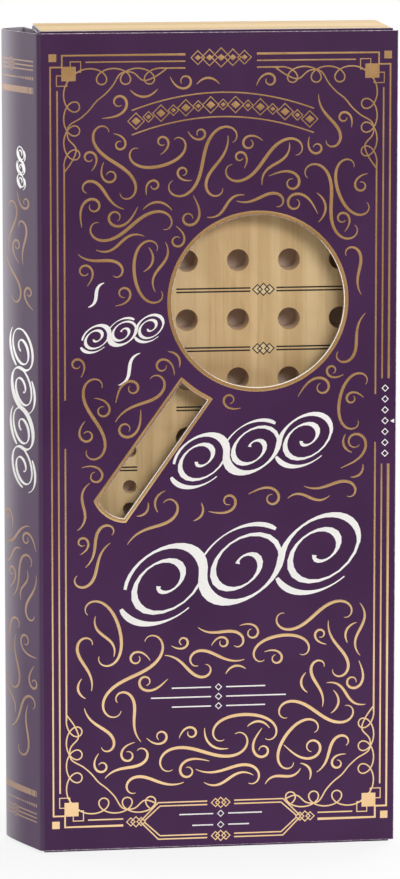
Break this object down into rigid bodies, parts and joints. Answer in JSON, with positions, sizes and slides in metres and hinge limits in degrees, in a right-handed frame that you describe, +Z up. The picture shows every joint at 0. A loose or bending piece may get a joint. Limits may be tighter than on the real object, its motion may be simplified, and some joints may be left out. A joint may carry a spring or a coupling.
{
  "type": "boxed wooden code-breaking game",
  "caption": "Book-shaped card carton with a lens-and-handle window, an opening cover and a tuck lid, holding a wooden peg board with code pegs, score pegs and a sliding shield.",
  "frame": {"origin": "centre of the whole object's bounding box at the base that it stands on", "axes": "+Z up along the carton's height, +X to the right and away from the spine, +Y from the front cover to the back"},
  "size_m": [0.1478, 0.0394, 0.315],
  "materials": {
    "printed_purple_card": "satin print on card",
    "printed_cream_card": "matt print on card",
    "bare_card": "uncoated",
    "white_paper": "matt",
    "pale_wood": "sanded, unvarnished",
    "painted_red": "painted, satin",
    "painted_orange": "painted, satin",
    "painted_yellow": "painted, satin",
    "painted_green": "painted, satin",
    "painted_blue": "painted, satin",
    "painted_purple": "painted, satin",
    "painted_black": "painted, satin",
    "painted_white": "painted, satin"
  },
  "bodies": {
    "carton": {"spine": "printed_purple_card", "carton_front": "printed_purple_card", "carton_left_side": "printed_purple_card", "carton_back": "printed_purple_card", "carton_right_side": "printed_cream_card", "bottom_panel": "printed_cream_card", "bottom_tuck_flap": "printed_cream_card", "bottom_dust_flap_left": "bare_card", "bottom_dust_flap_right": "bare_card", "card_insert": "bare_card", "rules_leaflet": "white_paper", "game_board": "pale_wood", "shield_rail_left": "pale_wood", "shield_rail_right": "pale_wood", "peg_pocket_lid": "pale_wood", "code_peg_red_1": "painted_red", "code_peg_red_2": "painted_red", "code_peg_red_3": "painted_red", "code_peg_red_4": "painted_red", "code_peg_orange_1": "painted_orange", "code_peg_orange_2": "painted_orange", "code_peg_orange_3": "painted_orange", "code_peg_orange_4": "painted_orange", "code_peg_yellow_1": "painted_yellow", "code_peg_yellow_2": "painted_yellow", "code_peg_yellow_3": "painted_yellow", "code_peg_yellow_4": "painted_yellow", "code_peg_green_1": "painted_green", "code_peg_green_2": "painted_green", "code_peg_green_3": "painted_green", "code_peg_green_4": "painted_green", "code_peg_blue_1": "painted_blue", "code_peg_blue_2": "painted_blue", "code_peg_blue_3": "painted_blue", "code_peg_blue_4": "painted_blue", "code_peg_purple_1": "painted_purple", "code_peg_purple_2": "painted_purple", "code_peg_purple_3": "painted_purple", "code_peg_purple_4": "painted_purple", "score_peg_black_1": "painted_black", "score_peg_black_2": "painted_black", "score_peg_black_3": "painted_black", "score_peg_black_4": "painted_black", "score_peg_black_5": "painted_black", "score_peg_black_6": "painted_black", "score_peg_white_1": "painted_white", "score_peg_white_2": "painted_white", "score_peg_white_3": "painted_white", "score_peg_white_4": "painted_white", "score_peg_white_5": "painted_white", "score_peg_white_6": "painted_white"},
    "cover": {"front_cover": "printed_purple_card"},
    "lid": {"top_lid": "printed_cream_card"},
    "tuck_flap": {"top_tuck_flap": "printed_cream_card"},
    "dust_flap_left": {"top_dust_flap_left": "bare_card"},
    "dust_flap_right": {"top_dust_flap_right": "bare_card"},
    "shield": {"code_shield": "pale_wood"}
  },
  "joints": [
    {"name": "cover_hinge", "type": "hinge", "parent": "carton", "child": "cover", "pos_m": [-0.0611, -0.0197, 0.1575], "axis": [0, 0, -1], "range_deg": [0, 165]},
    {"name": "lid_hinge", "type": "hinge", "parent": "carton", "child": "lid", "pos_m": [0.00555, 0.0197, 0.315], "axis": [-1, 0, 0], "range_deg": [0, 180]},
    {"name": "tuck_flap_crease", "type": "hinge", "parent": "lid", "child": "tuck_flap", "pos_m": [0.00555, -0.0174, 0.31488], "axis": [1, 0, 0], "range_deg": [-8, 12]},
    {"name": "dust_flap_left_crease", "type": "hinge", "parent": "carton", "child": "dust_flap_left", "pos_m": [-0.0602, 0.0007, 0.3141], "axis": [0, 1, 0], "range_deg": [0, 10]},
    {"name": "dust_flap_right_crease", "type": "hinge", "parent": "carton", "child": "dust_flap_right", "pos_m": [0.0713, 0.0007, 0.3141], "axis": [0, -1, 0], "range_deg": [0, 10]},
    {"name": "shield_slide", "type": "slide", "parent": "carton", "child": "shield", "axis": [0, 0, 1], "range_m": [0, 0.024]}
  ]
}
